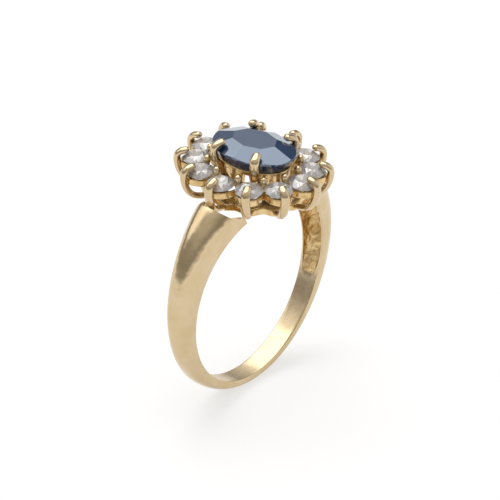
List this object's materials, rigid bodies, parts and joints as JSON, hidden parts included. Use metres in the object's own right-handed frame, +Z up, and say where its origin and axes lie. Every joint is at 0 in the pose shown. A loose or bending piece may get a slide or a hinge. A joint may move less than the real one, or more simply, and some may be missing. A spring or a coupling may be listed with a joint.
{
  "type": "engagement ring",
  "caption": "Oval blue stone in an open claw basket within an oval halo of round white stones, on a tapered half-round gold band with hollowed shoulders.",
  "frame": {"origin": "centre of the finger hole, midway across the band's width", "axes": "+Z up through the middle of the head, +Y along the axis of the finger hole and the long way of the oval head, +X from one shoulder to the other"},
  "size_m": [0.021, 0.0138, 0.0233],
  "materials": {
    "gold": "polished yellow gold",
    "sapphire": "polished, faceted, deep blue",
    "diamond": "polished, faceted, colourless"
  },
  "bodies": {
    "root": {"centre_base_rail": "gold", "centre_claw_1": "gold", "centre_claw_2": "gold", "centre_claw_3": "gold", "centre_claw_4": "gold", "centre_collar": "gold", "diamond_01": "diamond", "diamond_02": "diamond", "diamond_03": "diamond", "diamond_04": "diamond", "diamond_05": "diamond", "diamond_06": "diamond", "diamond_07": "diamond", "diamond_08": "diamond", "diamond_09": "diamond", "diamond_10": "diamond", "diamond_11": "diamond", "diamond_12": "diamond", "inner_claw_01": "gold", "inner_claw_02": "gold", "inner_claw_03": "gold", "inner_claw_04": "gold", "inner_claw_05": "gold", "inner_claw_06": "gold", "inner_claw_07": "gold", "inner_claw_08": "gold", "inner_claw_09": "gold", "inner_claw_10": "gold", "inner_claw_11": "gold", "inner_claw_12": "gold", "lower_gallery_rail": "gold", "outer_claw_01": "gold", "outer_claw_02": "gold", "outer_claw_03": "gold", "outer_claw_04": "gold", "outer_claw_05": "gold", "outer_claw_06": "gold", "outer_claw_07": "gold", "outer_claw_08": "gold", "outer_claw_09": "gold", "outer_claw_10": "gold", "outer_claw_11": "gold", "outer_claw_12": "gold", "sapphire": "sapphire", "shank": "gold", "upper_gallery_rail": "gold"}
  },
  "joints": []
}
